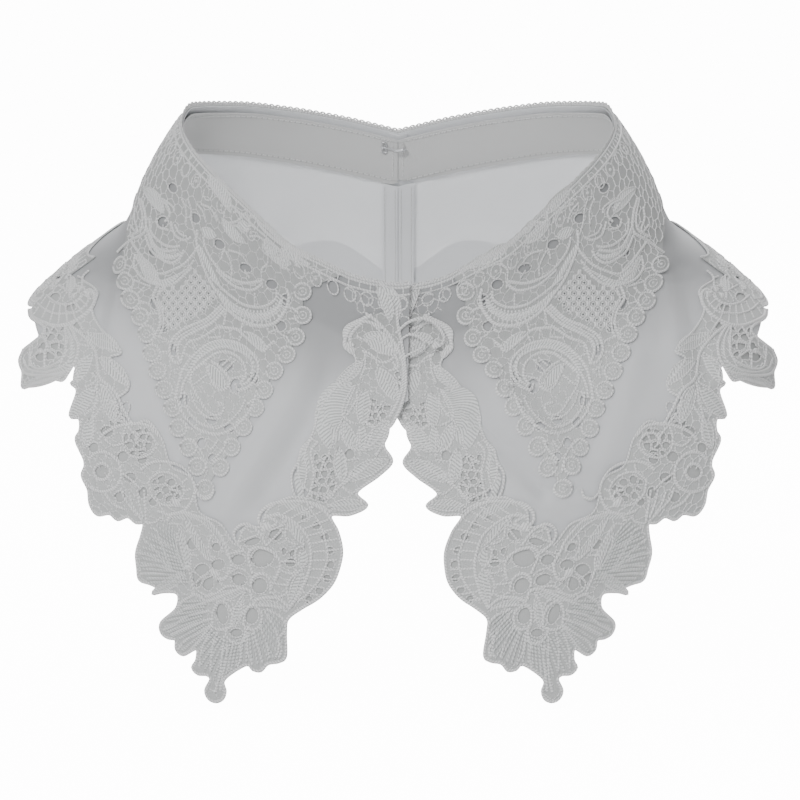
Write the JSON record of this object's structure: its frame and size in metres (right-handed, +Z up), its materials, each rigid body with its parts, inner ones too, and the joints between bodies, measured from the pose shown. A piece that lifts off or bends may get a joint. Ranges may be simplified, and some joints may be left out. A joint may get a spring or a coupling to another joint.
{
  "type": "false collar with pointed lace fronts",
  "caption": "Detachable false collar in its worn, hollow form: two sheer leaves with lace edging and panels on a neckband.",
  "frame": {"origin": "the middle of the neck opening, between its front and back", "axes": "the front faces -Y, +X is the wearer's left, +Z is up"},
  "size_m": [0.3708, 0.2143, 0.2712],
  "materials": {
    "sheer_cloth": "matt sheer woven chiffon",
    "lace_thread": "satin stitched polyester thread",
    "band_cloth": "matt, interlined",
    "hook_metal": "bright wire"
  },
  "bodies": {
    "root": {"leaf_right": "sheer_cloth", "leaf_left": "sheer_cloth", "front_lace_right": "lace_thread", "front_lace_left": "lace_thread", "back_lace_right": "lace_thread", "back_lace_left": "lace_thread", "panel_right": "lace_thread", "panel_left": "lace_thread", "placket_right": "sheer_cloth", "placket_left": "sheer_cloth", "neckband": "band_cloth", "hook": "hook_metal", "thread_bar": "lace_thread"}
  },
  "joints": []
}
